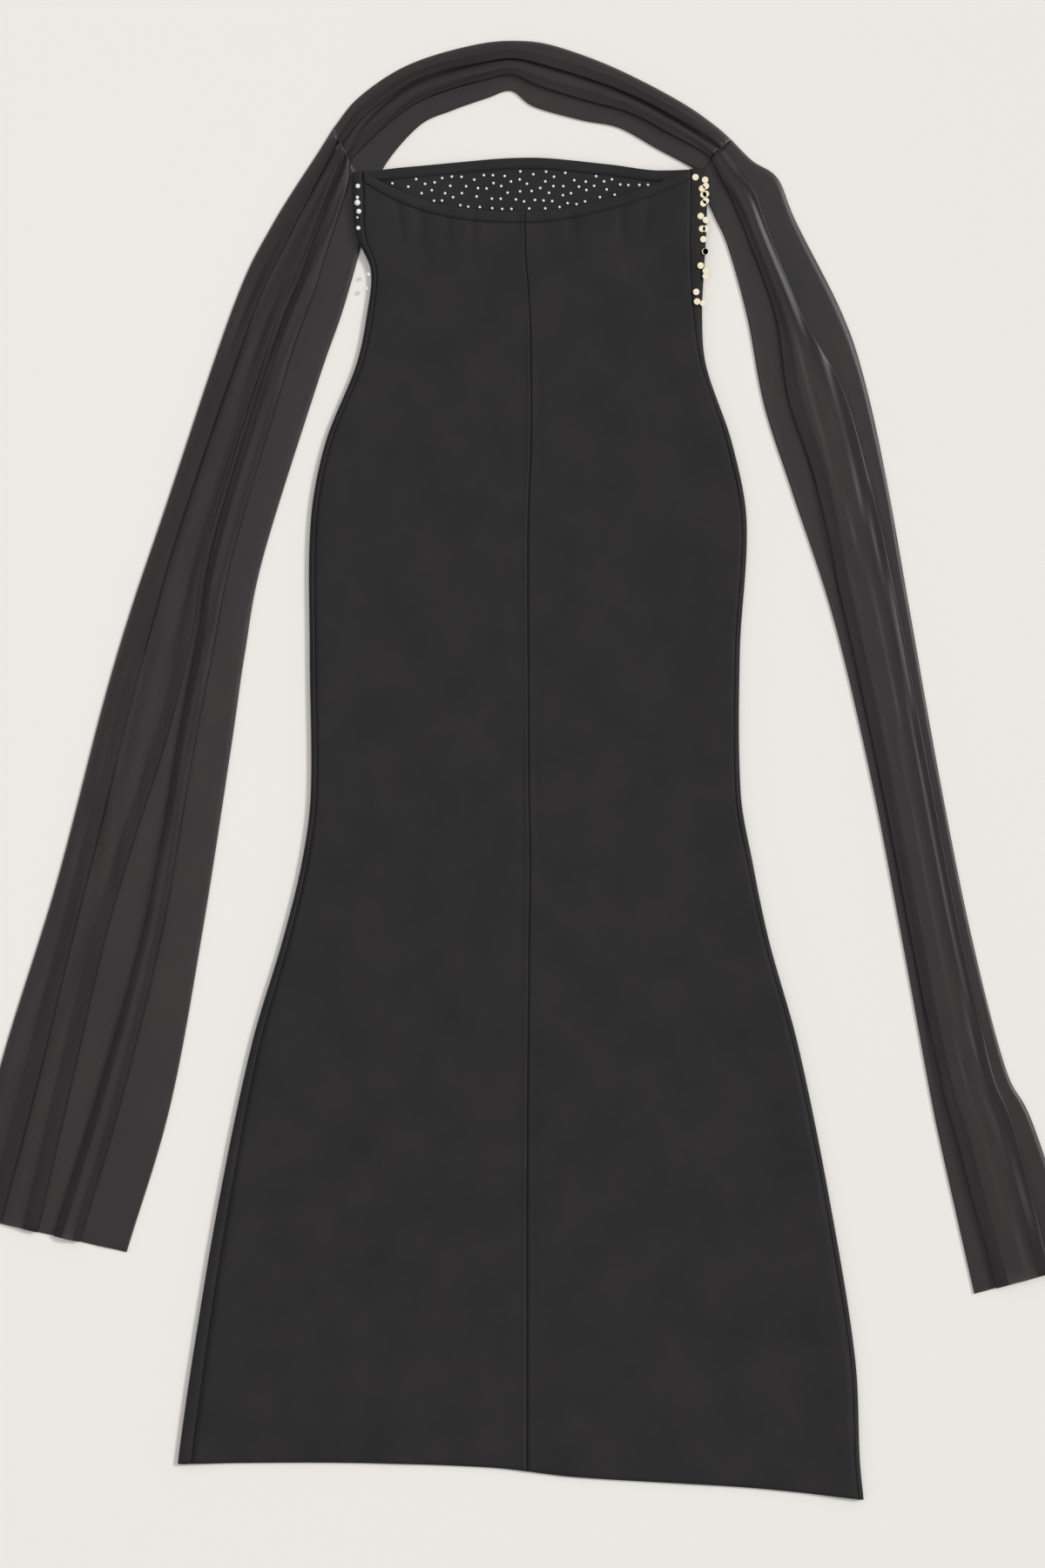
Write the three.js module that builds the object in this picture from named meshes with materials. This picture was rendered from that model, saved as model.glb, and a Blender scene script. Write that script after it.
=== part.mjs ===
// A strapless column gown with a flared hem and a long sheer stole sewn to its two top corners,
// lying flat on its front, so that its back faces up.
// Millimetres. x runs right from the centre back seam, y from the hem to the neckline, z up.
// Every piece is a wall of cloth: a grid of points in the middle of the cloth, with the faces
// half a thickness to either side of it and a rim all round.

import * as THREE from "three";

// Cloth
const GOWN_WALL = 1.5; // double knit
const BAND_WALL = 1.0; // turned neckline band
const STOLE_WALL = 1.0; // sheer knit
const SEAM_GAP = 0.3; // between pieces that are sewn or lie on each other

// Gown
const NECK_HEIGHT = 1341; // hem to the top corners of the back
const BAND_DEPTH = 11; // depth of the bands along both necklines
const BACK_DIP = 40; // how far the back neckline falls at the seam
const SIDE_CROWN = 2.0; // how far the back stands off the front along the sides
const SIDE_CROWN_REACH = 60; // width over which that fades
const NECK_CROWN = 1.5; // how far the back stands off the front at the neckline
const CORNER_LIFT = 1.6; // how far the top corners ride up on the stole under them
const LEFT_LIFT_FROM = 105; // across, to the left, where the lift of the left corner starts
const LEFT_LIFT_FULL = 140;
const RIGHT_LIFT_FROM = 125; // the same to the right
const RIGHT_LIFT_FULL = 160;
const LIFT_HEIGHT_FROM = 1225; // heights over which the corners are lifted
const LIFT_HEIGHT_FULL = 1262;
const ROLL_RUN = 12; // run of the turned side, before the back falls away from it
const NECK_CROWN_FROM = 1240; // heights over which the neckline crown comes in
const NECK_CROWN_FULL = 1300;
const HEM_REACH = 200; // height up to which the hem's shape is felt
const NECK_REACH = 1180; // height from which the neckline's shape is felt
const LEFT_NECK_POWER = 2.7; // how late the back neckline rises to its left corner
const RIGHT_NECK_POWER = 1.7; // and to its right one

// Stole
const PLEAT_MARGIN = 1.5; // clear run before and after a fold
const ROLL_ARCH = 2.0; // how far the top of a box fold is arched
const STEPS_PER_ROW = 2; // sections of the solid for each row of a stole table
const JOINT_TRIM = 0.01; // share of a table row cut off where two stretches meet

// Rows of numbers under named columns.
function table(names, rows) {
  return rows.map((row, place) => ({
    place,
    ...Object.fromEntries(names.map((name, index) => [name, row[index]])),
  }));
}

// The gown's outline and seams. left and right are its outermost edges, and the rolls are how
// much of the front turns over each side onto the back.
const GOWN_ROWS = table(
  ["height", "left", "right", "left_roll", "right_roll", "seam"],
  [
    [-30, -364, 347, 13, 5, -1],
    [10, -361, 343, 13, 5, -1],
    [117, -346, 338, 13, 5, -1],
    [279, -319, 312, 11, 5, -1],
    [441, -285, 279, 8, 5, 0],
    [549, -253, 249, 6, 5, 1],
    [630, -233, 232, 5, 5, 2],
    [700, -224, 220, 5, 5, 1],
    [846, -225, 219, 5, 5, 0],
    [981, -224, 226, 5, 5, 0],
    [1062, -209, 211, 5, 5, 3],
    [1143, -177, 184, 5, 5, 3],
    [1195, -166, 180, 5, 9, 2],
    [1241, -162, 182, 5, 14, 0],
    [1275, -176, 184, 8, 17, -2],
    [1310, -180, 185, 11, 17, -3],
    [1360, -181, 185, 11, 17, -3],
  ],
);

// How far the hem lies above or below the hem at the seam.
const HEM_ROWS = table(
  ["across", "height"],
  [[-361, 9], [-200, 10], [-40, 5], [50, -5], [230, -16], [346, -28]],
);

// The top edge of the front, which shows above the back.
const FRONT_NECK_ROWS = table(
  ["across", "height"],
  [[-181, 1341], [-95, 1350], [0, 1357], [85, 1350], [130, 1344], [185, 1345]],
);

// Heights of the gown's grid rows, and the share of the width of each of its columns.
const GRID_HEIGHTS = [
  0, 60, 125, 195, 265, 335, 400, 460, 520, 580, 640, 700, 770, 840, 910, 970, 1020, 1065,
  1110, 1150, 1190, 1225, 1255, 1285, 1310,
];
const GRID_ROWS = [...GRID_HEIGHTS, NECK_HEIGHT - BAND_DEPTH, NECK_HEIGHT];
const FRONT_COLUMNS = [0.05, 0.1, 0.2, 0.35, 0.5, 0.65, 0.8, 0.9, 0.95];
const BACK_COLUMNS = [0, 0.06, 0.15, 0.3, 0.5, 0.75, 1];

// The left fall of the stole, from its end up to the gown's left corner. Shares are of its
// visible width, from the outer edge: two knife pleats, then a box fold from opens to closes.
const LEFT_FALL = table(
  ["outer_x", "outer_y", "inner_x", "inner_y", "first", "second", "opens", "closes",
    "pleat_tuck", "box_tuck", "pitch"],
  [
    [-581, 265, -414, 227, 0.22, 0.45, 0.55, 0.71, 16, 8, 1.8],
    [-544, 421, -369, 378, 0.23, 0.42, 0.58, 0.72, 16, 8, 1.8],
    [-487, 606, -335, 562, 0.19, 0.4, 0.62, 0.74, 14, 7, 1.8],
    [-440, 787, -306, 749, 0.2, 0.52, 0.6, 0.73, 12, 7, 1.8],
    [-411, 886, -292, 845, 0.2, 0.54, 0.59, 0.74, 12, 7, 1.8],
    [-376, 990, -273, 945, 0.18, 0.47, 0.52, 0.72, 10, 7, 1.8],
    [-304, 1203, -216, 1127, 0.2, 0.44, 0.49, 0.68, 10, 7, 1.8],
    [-264, 1287, -191, 1199, 0.2, 0.42, 0.47, 0.65, 10, 7, 1.8],
    [-214, 1366, -169, 1276, 0.15, 0.32, 0.37, 0.55, 8, 6, 1.6],
    [-201, 1387, -160, 1309, 0.13, 0.28, 0.33, 0.46, 5, 4, 1.4],
  ],
);

// The stole round the neck, from the left corner to the right one, with two knife pleats.
const NECK_ARC = table(
  ["outer_x", "outer_y", "inner_x", "inner_y", "first", "second", "pleat_tuck", "pitch"],
  [
    [-201, 1387, -160, 1309, 0.2, 0.42, 8, 1.4],
    [-177, 1417, -148, 1348, 0.27, 0.57, 10, 1.6],
    [-139, 1445, -112, 1390, 0.32, 0.65, 10, 1.8],
    [-100, 1462, -78, 1406, 0.32, 0.65, 10, 1.8],
    [-49, 1475, -41, 1419, 0.35, 0.68, 9, 1.8],
    [-13, 1478, -17, 1426, 0.36, 0.7, 9, 1.8],
    [23, 1474, 6, 1410, 0.34, 0.68, 10, 1.8],
    [76, 1456, 55, 1396, 0.33, 0.68, 10, 1.8],
    [125, 1433, 94, 1388, 0.33, 0.66, 9, 1.8],
    [166, 1410, 134, 1366, 0.32, 0.64, 9, 1.6],
    [194, 1390, 168, 1348, 0.3, 0.6, 7, 1.4],
    [209, 1377, 175, 1343, 0.3, 0.6, 7, 1.4],
  ],
);

// The right fall of the stole, from the gown's right corner down to its end. Shares are from
// the inner edge: one wide box fold.
const RIGHT_FALL = table(
  ["inner_x", "inner_y", "outer_x", "outer_y", "opens", "closes", "box_tuck", "pitch"],
  [
    [175, 1343, 209, 1377, 0.4, 0.75, 5, 1.4],
    [182, 1321, 232, 1354, 0.36, 0.72, 7, 1.6],
    [193, 1296, 258, 1336, 0.31, 0.64, 8, 1.8],
    [207, 1264, 277, 1291, 0.3, 0.6, 8, 1.8],
    [227, 1191, 323, 1200, 0.3, 0.58, 10, 1.8],
    [244, 1102, 346, 1134, 0.24, 0.76, 14, 1.8],
    [273, 1012, 369, 1032, 0.26, 0.82, 14, 1.8],
    [316, 880, 395, 886, 0.15, 0.86, 12, 1.8],
    [355, 714, 424, 723, 0.13, 0.86, 12, 1.8],
    [387, 547, 457, 558, 0.13, 0.85, 12, 1.8],
    [414, 399, 493, 418, 0.15, 0.83, 12, 1.8],
    [427, 335, 521, 361, 0.17, 0.79, 14, 1.8],
    [461, 184, 571, 214, 0.2, 0.72, 14, 1.8],
  ],
);

// 0 up to low, 1 from high, and smooth between them.
function rise(value, low, high) {
  return THREE.MathUtils.smoothstep(value, low, high);
}

// A column of a table as a smooth curve over another column, flat past its ends.
function curve(rows, over, name) {
  const slope = (index) => {
    const before = rows[Math.max(index - 1, 0)];
    const after = rows[Math.min(index + 1, rows.length - 1)];
    return (after[name] - before[name]) / (after[over] - before[over]);
  };
  return (at) => {
    let index = 0;
    while (index < rows.length - 2 && at > rows[index + 1][over]) {
      index += 1;
    }
    const from = rows[index];
    const to = rows[index + 1];
    const span = to[over] - from[over];
    const share = THREE.MathUtils.clamp((at - from[over]) / span, 0, 1);
    const ease = share * share * (3 - 2 * share);
    const leave = share * (1 - share) * (1 - share) * slope(index) * span;
    const arrive = share * share * (share - 1) * slope(index + 1) * span;
    return from[name] + (to[name] - from[name]) * ease + leave + arrive;
  };
}

// A closed wall of cloth. Each section is a list of middle points and of the unit steps that
// lead from them to the outer face.
function clothWall(sections, thickness) {
  const rowCount = sections.length;
  const columnCount = sections[0].length;
  const positions = [];
  for (const side of [0.5, -0.5]) {
    for (const section of sections) {
      for (const { point, outward } of section) {
        const face = point.clone().addScaledVector(outward, side * thickness);
        positions.push(face.x, face.y, face.z);
      }
    }
  }
  const outer = (row, column) => row * columnCount + column;
  const inner = (row, column) => rowCount * columnCount + outer(row, column);
  const index = [];
  const quad = (a, b, c, d) => index.push(a, b, c, a, c, d);
  for (let row = 0; row < rowCount - 1; row += 1) {
    for (let column = 0; column < columnCount - 1; column += 1) {
      quad(outer(row, column), outer(row, column + 1),
        outer(row + 1, column + 1), outer(row + 1, column));
      quad(inner(row + 1, column), inner(row + 1, column + 1),
        inner(row, column + 1), inner(row, column));
    }
    const last = columnCount - 1;
    quad(outer(row + 1, 0), inner(row + 1, 0), inner(row, 0), outer(row, 0));
    quad(outer(row, last), inner(row, last), inner(row + 1, last), outer(row + 1, last));
  }
  for (let column = 0; column < columnCount - 1; column += 1) {
    const last = rowCount - 1;
    quad(outer(0, column), inner(0, column), inner(0, column + 1), outer(0, column + 1));
    quad(outer(last, column + 1), inner(last, column + 1),
      inner(last, column), outer(last, column));
  }
  if (signedVolume(positions, index) < 0) {
    index.reverse();
  }
  const geometry = new THREE.BufferGeometry();
  geometry.setAttribute("position", new THREE.Float32BufferAttribute(positions, 3));
  geometry.setIndex(index);
  geometry.computeVertexNormals();
  return geometry;
}

// Six times the volume inside the triangles, below zero where they face in.
function signedVolume(positions, index) {
  const corner = (number) => new THREE.Vector3().fromArray(positions, index[number] * 3);
  let total = 0;
  for (let number = 0; number < index.length; number += 3) {
    total += corner(number).dot(corner(number + 1).cross(corner(number + 2)));
  }
  return total;
}

// Middle points of a section that bends in the plane of across and z, each with the step that
// keeps the wall's thickness on both sides of a corner.
function bentSection(places, across, spot) {
  const turn = (from, to) =>
    new THREE.Vector2(from.height - to.height, to.run - from.run).normalize();
  return places.map((place, number) => {
    const before = places[Math.max(number - 1, 0)];
    const after = places[Math.min(number + 1, places.length - 1)];
    const first = number > 0 ? turn(before, place) : turn(place, after);
    const second = number < places.length - 1 ? turn(place, after) : first;
    const middle = first.clone().add(second).normalize();
    middle.divideScalar(middle.dot(first));
    const outward = across.clone().multiplyScalar(middle.x);
    outward.z = middle.y;
    return { point: spot(place), outward };
  });
}

// ---- Gown ----

const gownLeft = curve(GOWN_ROWS, "height", "left");
const gownRight = curve(GOWN_ROWS, "height", "right");
const leftRoll = curve(GOWN_ROWS, "height", "left_roll");
const rightRoll = curve(GOWN_ROWS, "height", "right_roll");
const backSeam = curve(GOWN_ROWS, "height", "seam");
const hemHeight = curve(HEM_ROWS, "across", "height");
const frontNeck = curve(FRONT_NECK_ROWS, "across", "height");

// The side seam, where the back meets the turned edge of the front. side is -1 for the left.
function sideSeam(side, height) {
  return side < 0 ? gownLeft(height) + leftRoll(height) : gownRight(height) - rightRoll(height);
}

// The back neckline hangs from its two corners, deeper and rounder on the left. The corner is
// where the row meets the side seam.
function backNeck(across, row) {
  const side = Math.sign(across);
  const corner = sideSeam(side, sideHeight(side, row));
  const share = Math.min(Math.abs(across / corner), 1);
  const lowest = NECK_HEIGHT - BACK_DIP;
  const power = across < 0 ? LEFT_NECK_POWER : RIGHT_NECK_POWER;
  return lowest + (frontNeck(corner) - lowest) * share ** power;
}

// A grid row's height bends to the hem below and to the given neckline above.
function clothHeight(row, across, neck) {
  const hem = hemHeight(across) * (1 - rise(row, 0, HEM_REACH));
  const share = rise(row, NECK_REACH, NECK_HEIGHT - BAND_DEPTH);
  const top = (neck(across, row) - NECK_HEIGHT) * share;
  return row + hem + top;
}

// How high a grid row meets the left or the right side of the gown.
function sideHeight(side, row) {
  return clothHeight(row, side < 0 ? gownLeft(row) : gownRight(row), frontNeck);
}

// How far the two top corners are lifted by the stole under them.
function cornerLift(across, height) {
  const left = rise(-across, LEFT_LIFT_FROM, LEFT_LIFT_FULL);
  const right = rise(across, RIGHT_LIFT_FROM, RIGHT_LIFT_FULL);
  return CORNER_LIFT * (left + right) * rise(height, LIFT_HEIGHT_FROM, LIFT_HEIGHT_FULL);
}

// The middle of the front panel and of the back above it.
function frontLevel(across, height) {
  return GOWN_WALL / 2 + cornerLift(across, height);
}

function backLevel(across, height) {
  const toSide = Math.min(across - gownLeft(height), gownRight(height) - across);
  const side = SIDE_CROWN * (1 - rise(toSide, ROLL_RUN, ROLL_RUN + SIDE_CROWN_REACH));
  const neck = NECK_CROWN * rise(height, NECK_CROWN_FROM, NECK_CROWN_FULL);
  return frontLevel(across, height) + GOWN_WALL + SEAM_GAP + side + neck;
}

// The middle points of one row of the front between its turned sides.
function frontRow(row) {
  const leftEdge = gownLeft(sideHeight(-1, row));
  const rightEdge = gownRight(sideHeight(1, row));
  return FRONT_COLUMNS.map((share) => {
    const run = leftEdge + (rightEdge - leftEdge) * share;
    const height = clothHeight(row, run, frontNeck);
    return new THREE.Vector3(run, height, frontLevel(run, height));
  });
}

// The front lies under the back and turns over it at both sides.
function frontPanel() {
  const across = new THREE.Vector3(1, 0, 0);
  return clothWall(GRID_ROWS.map((row) => {
    const height = (run) => clothHeight(row, run, frontNeck);
    const turned = (side) => {
      const edge = (side < 0 ? gownLeft : gownRight)(sideHeight(side, row));
      const tip = edge - side * GOWN_WALL / 2;
      const low = frontLevel(tip, height(tip));
      const high = backLevel(tip, height(tip));
      const radius = (high - low) / 2;
      const entry = tip - side * radius;
      const end = sideSeam(side, sideHeight(side, row));
      return [
        { run: end, height: backLevel(end, height(end)) },
        { run: entry, height: high },
        { run: tip, height: (low + high) / 2 },
        { run: entry, height: low },
      ];
    };
    const under = frontRow(row).map(({ x, z }) => ({ run: x, height: z }));
    const places = [...turned(-1), ...under, ...turned(1).reverse()];
    const spot = (place) => new THREE.Vector3(place.run, height(place.run), place.height);
    return bentSection(places, across, spot);
  }), GOWN_WALL);
}

// The middle points of the left or right half of the back, row by row.
function backGrid(side) {
  return GRID_ROWS.map((row) => {
    const outerEnd = sideSeam(side, sideHeight(side, row)) - side * SEAM_GAP;
    const seamEnd = backSeam(row) + side * SEAM_GAP / 2;
    return BACK_COLUMNS.map((share) => {
      const run = outerEnd + (seamEnd - outerEnd) * share;
      const height = clothHeight(row, run, backNeck);
      return new THREE.Vector3(run, height, backLevel(run, height));
    });
  });
}

// A flat-lying wall through a grid of middle points.
function flatWall(grid, thickness) {
  const outward = new THREE.Vector3(0, 0, 1);
  return clothWall(grid.map((row) => row.map((point) => ({ point, outward }))), thickness);
}

// A band on the last two rows of a panel's points, moved up onto its upper face.
function bandOn(grid) {
  const up = GOWN_WALL / 2 + SEAM_GAP + BAND_WALL / 2;
  const raised = grid.slice(-2).map((row) =>
    row.map((point) => new THREE.Vector3(point.x, point.y, point.z + up)));
  return flatWall(raised, BAND_WALL);
}

// ---- Stole ----

// The path of the cloth across the stole, as run and height. A fold that falls comes along on
// top, turns back under itself and goes on at the bottom; one that rises does the reverse.
function pleatedPath(width, folds, pitch) {
  const radius = pitch / 2;
  const floor = STOLE_WALL / 2;
  const place = (run, layer) => ({ run, height: floor + layer * pitch });
  const path = [place(0, 0)];
  let clearFrom = 0;
  let onTop = false;
  for (const { at, tuck, falls } of folds) {
    const hidden = falls ? at - tuck : at + tuck;
    if (falls) {
      if (onTop) {
        const third = (at - clearFrom) / 3;
        for (const share of [1, 2]) {
          const arched = place(clearFrom + share * third, 2);
          arched.height += ROLL_ARCH;
          path.push(arched);
        }
      } else {
        path.push(place(clearFrom + PLEAT_MARGIN, 0), place(hidden - PLEAT_MARGIN, 2));
      }
      path.push(place(at - radius, 2), place(at, 1.5), place(at - radius, 1));
      path.push(place(hidden + radius, 1), place(hidden, 0.5), place(hidden + radius, 0));
    } else {
      path.push(place(hidden - radius, 0), place(hidden, 0.5), place(hidden - radius, 1));
      path.push(place(at + radius, 1), place(at, 1.5), place(at + radius, 2));
    }
    clearFrom = at;
    onTop = !falls;
  }
  path.push(place(width, 0));
  return path;
}

// A stretch of the stole, swept along a table from the edge named start to the edge named end.
// foldsOf gives a row's folds from its visible width; trims cut its joined ends short.
function stoleStretch(rows, start, end, foldsOf, trims) {
  const names = Object.keys(rows[0]).filter((name) => name !== "place");
  const curves = Object.fromEntries(names.map((name) => [name, curve(rows, "place", name)]));
  const stepCount = (rows.length - 1) * STEPS_PER_ROW;
  const sections = [];
  for (let step = 0; step <= stepCount; step += 1) {
    const place = THREE.MathUtils.clamp(
      step / STEPS_PER_ROW, trims.first, rows.length - 1 - trims.last);
    const row = Object.fromEntries(names.map((name) => [name, curves[name](place)]));
    const from = new THREE.Vector3(row[`${start}_x`], row[`${start}_y`], 0);
    const to = new THREE.Vector3(row[`${end}_x`], row[`${end}_y`], 0);
    const width = from.distanceTo(to);
    const across = to.clone().sub(from).normalize();
    const spot = ({ run, height }) => {
      const point = from.clone().addScaledVector(across, run);
      point.z = height;
      return point;
    };
    sections.push(bentSection(
      pleatedPath(width, foldsOf(row, width), row.pitch), across, spot));
  }
  return clothWall(sections, STOLE_WALL);
}

function leftFallFolds(row, width) {
  return [
    { at: row.first * width, tuck: row.pleat_tuck, falls: true },
    { at: row.second * width, tuck: row.pleat_tuck, falls: true },
    { at: row.opens * width, tuck: row.box_tuck, falls: false },
    { at: row.closes * width, tuck: row.box_tuck, falls: true },
  ];
}

function neckArcFolds(row, width) {
  return [
    { at: row.first * width, tuck: row.pleat_tuck, falls: true },
    { at: row.second * width, tuck: row.pleat_tuck, falls: true },
  ];
}

function rightFallFolds(row, width) {
  return [
    { at: row.opens * width, tuck: row.box_tuck, falls: false },
    { at: row.closes * width, tuck: row.box_tuck, falls: true },
  ];
}

// ---- Pieces ----

function gownFabric() {
  return new THREE.MeshStandardMaterial({ color: 0x2b292b, roughness: 0.9, metalness: 0 });
}

function bandFabric() {
  return new THREE.MeshStandardMaterial({ color: 0x242325, roughness: 0.9, metalness: 0 });
}

function sheerFabric() {
  return new THREE.MeshStandardMaterial({ color: 0x3a3133, roughness: 0.6, metalness: 0 });
}

function piece(name, geometry, material) {
  const mesh = new THREE.Mesh(geometry, material);
  mesh.name = name;
  return mesh;
}

const leftBack = backGrid(-1);
const rightBack = backGrid(1);
const cloth = new THREE.Group();
cloth.add(
  piece("front_panel", frontPanel(), gownFabric()),
  piece("back_left_panel", flatWall(leftBack, GOWN_WALL), gownFabric()),
  piece("back_right_panel", flatWall(rightBack, GOWN_WALL), gownFabric()),
  piece("neck_band_front", bandOn(GRID_ROWS.map(frontRow)), bandFabric()),
  piece("neck_band_back_left", bandOn(leftBack), bandFabric()),
  piece("neck_band_back_right", bandOn(rightBack), bandFabric()),
  piece("stole_left_fall", stoleStretch(
    LEFT_FALL, "outer", "inner", leftFallFolds, { first: 0, last: JOINT_TRIM }), sheerFabric()),
  piece("stole_neck_arc", stoleStretch(
    NECK_ARC, "outer", "inner", neckArcFolds, { first: JOINT_TRIM, last: JOINT_TRIM }),
  sheerFabric()),
  piece("stole_right_fall", stoleStretch(
    RIGHT_FALL, "inner", "outer", rightFallFolds, { first: JOINT_TRIM, last: 0 }),
  sheerFabric()),
);

// The origin is on the table, under the middle of all the cloth.
const bounds = new THREE.Box3().setFromObject(cloth);
const middle = bounds.getCenter(new THREE.Vector3());
cloth.position.set(-middle.x, -middle.y, -bounds.min.z);

const gown = new THREE.Group();
gown.add(cloth);

export default gown;
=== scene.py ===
# %% [markdown]
# # A column gown with an attached sheer stole, lying flat
# A strapless black gown in heavy double knit lies on its front, back side up. A long strip of sheer
# knit is sewn to its two top corners and runs round the neckline and down both sides.

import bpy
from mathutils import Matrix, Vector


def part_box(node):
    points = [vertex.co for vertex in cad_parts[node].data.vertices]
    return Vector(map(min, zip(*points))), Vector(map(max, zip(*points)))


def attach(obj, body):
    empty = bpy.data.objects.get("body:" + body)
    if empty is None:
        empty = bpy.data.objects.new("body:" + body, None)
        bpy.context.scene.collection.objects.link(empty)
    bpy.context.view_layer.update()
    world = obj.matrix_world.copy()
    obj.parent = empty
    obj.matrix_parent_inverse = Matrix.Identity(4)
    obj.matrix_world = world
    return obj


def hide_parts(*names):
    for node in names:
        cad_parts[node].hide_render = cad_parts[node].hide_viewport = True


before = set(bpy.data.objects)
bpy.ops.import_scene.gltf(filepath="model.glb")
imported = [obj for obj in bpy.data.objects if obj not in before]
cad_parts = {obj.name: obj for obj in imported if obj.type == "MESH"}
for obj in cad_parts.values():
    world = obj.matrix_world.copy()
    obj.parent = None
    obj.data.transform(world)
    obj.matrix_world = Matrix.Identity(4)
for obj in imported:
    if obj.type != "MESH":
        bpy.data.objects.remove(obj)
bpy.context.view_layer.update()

import math
import bpy
import numpy as np
from mathutils import Vector

# %% [markdown]
# ## Sizes
# Millimetres, as on the pattern: x runs right from the centre back seam, y up from the hem. Every
# shape is worked out like that, and moved into the frame when its mesh is made.

# %%
MM = 0.001
GOWN_WALL = 1.4        # heavy double knit
BAND_WALL = 0.9        # turned neckline band
STOLE_WALL = 0.35      # fine sheer knit
NECK_HEIGHT = 1341     # hem to the top corners of the back
BAND_DEPTH = 11
BAND_GAP = 0.1         # between a band and the panel under it
BACK_DIP = 40          # how far the back neckline falls at the seam
LEFT_NECK_POWER, RIGHT_NECK_POWER = 2.7, 1.7   # how late the back neckline rises to each corner
HEM_REACH = 200        # height up to which the hem's shape is felt
NECK_REACH = 1180      # height from which the neckline's shape is felt
GROUND_GAP = 0.2       # under the front, and the least height of any cloth is half of it
CORNER_LIFT = 1.6      # how far the top corners ride up on the stole under them
CORNER_HEIGHTS = (1225, 1262)                  # heights over which that comes in
LEFT_CORNER, RIGHT_CORNER = (105, 140), (125, 160)   # and how far across
SIDE_CROWN = 2.2       # how far the back stands off the front along the sides
CROWN_FADE = (10, 62)  # distances from the side over which that fades
NECK_CROWN = 1.3       # the same at the neckline
NECK_CROWN_HEIGHTS = (1240, 1300)
SEAM_GAP = 0.25        # half the way between the two halves of the back
SIDE_GAP = 0.3         # between the back and the turned side
ROW_STEP = 5.0         # between the rows of a sheet's points
FRONT_LOW_X, FRONT_HIGH_Y = -361.4, 1357.0   # the front panel's left edge and top on the pattern

front_low, front_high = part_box("front_panel")
SHIFT_X = front_low.x / MM - FRONT_LOW_X
SHIFT_Y = front_high.y / MM - FRONT_HIGH_Y


def table(names, rows):
    return {name: np.array([row[i] for row in rows], float) for i, name in enumerate(names.split())}


GOWN = table("height left right left_roll right_roll seam", [
    (-30, -364, 347, 13, 5, -1), (10, -361, 343, 13, 5, -1), (117, -346, 338, 13, 5, -1),
    (279, -319, 312, 11, 5, -1), (441, -285, 279, 8, 5, 0), (549, -253, 249, 6, 5, 1),
    (630, -233, 232, 5, 5, 2), (700, -224, 220, 5, 5, 1), (846, -225, 219, 5, 5, 0),
    (981, -224, 226, 5, 5, 0), (1062, -209, 211, 5, 5, 3), (1143, -177, 184, 5, 5, 3),
    (1195, -166, 180, 5, 9, 2), (1241, -162, 182, 5, 14, 0), (1275, -176, 184, 8, 17, -2),
    (1310, -180, 185, 11, 17, -3), (1360, -181, 185, 11, 17, -3)])
HEM = table("across height", [(-361, 9), (-200, 10), (-40, 5), (50, -5), (230, -16), (346, -28)])
FRONT_NECK = table("across height", [
    (-181, 1341), (-95, 1350), (0, 1357), (85, 1350), (130, 1344), (185, 1345)])
LEFT_FALL = table("ox oy ix iy first second opens closes pleat box pitch", [
    (-581, 265, -414, 227, .22, .45, .55, .71, 16, 8, 1.8),
    (-544, 421, -369, 378, .23, .42, .58, .72, 16, 8, 1.8),
    (-487, 606, -335, 562, .19, .4, .62, .74, 14, 7, 1.8),
    (-440, 787, -306, 749, .2, .52, .6, .73, 12, 7, 1.8),
    (-411, 886, -292, 845, .2, .54, .59, .74, 12, 7, 1.8),
    (-376, 990, -273, 945, .18, .47, .52, .72, 10, 7, 1.8),
    (-304, 1203, -216, 1127, .2, .44, .49, .68, 10, 7, 1.8),
    (-264, 1287, -191, 1199, .2, .42, .47, .65, 10, 7, 1.8),
    (-214, 1366, -169, 1276, .15, .32, .37, .55, 8, 6, 1.6),
    (-201, 1387, -160, 1309, .13, .28, .33, .46, 5, 4, 1.4)])
NECK_ARC = table("ox oy ix iy first second pleat pitch", [
    (-201, 1387, -160, 1309, .2, .42, 8, 1.4), (-177, 1417, -148, 1348, .27, .57, 10, 1.6),
    (-139, 1445, -112, 1390, .32, .65, 10, 1.8), (-100, 1462, -78, 1406, .32, .65, 10, 1.8),
    (-49, 1475, -41, 1419, .35, .68, 9, 1.8), (-13, 1478, -17, 1426, .36, .7, 9, 1.8),
    (23, 1474, 6, 1410, .34, .68, 10, 1.8), (76, 1456, 55, 1396, .33, .68, 10, 1.8),
    (125, 1433, 94, 1388, .33, .66, 9, 1.8), (166, 1410, 134, 1366, .32, .64, 9, 1.6),
    (194, 1390, 168, 1348, .3, .6, 7, 1.4), (209, 1377, 175, 1343, .3, .6, 7, 1.4)])
RIGHT_FALL = table("ix iy ox oy opens closes box pitch", [
    (175, 1343, 209, 1377, .4, .75, 5, 1.4), (182, 1321, 232, 1354, .36, .72, 7, 1.6),
    (193, 1296, 258, 1336, .31, .64, 8, 1.8), (207, 1264, 277, 1291, .3, .6, 8, 1.8),
    (227, 1191, 323, 1200, .3, .58, 10, 1.8), (244, 1102, 346, 1134, .24, .76, 14, 1.8),
    (273, 1012, 369, 1032, .26, .82, 14, 1.8), (316, 880, 395, 886, .15, .86, 12, 1.8),
    (355, 714, 424, 723, .13, .86, 12, 1.8), (387, 547, 457, 558, .13, .85, 12, 1.8),
    (414, 399, 493, 418, .15, .83, 12, 1.8), (427, 335, 521, 361, .17, .79, 14, 1.8),
    (461, 184, 571, 214, .2, .72, 14, 1.8)])


def rise(value, low, high):
    share = np.clip((np.asarray(value, float) - low) / (high - low), 0, 1)
    return share * share * (3 - 2 * share)


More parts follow.
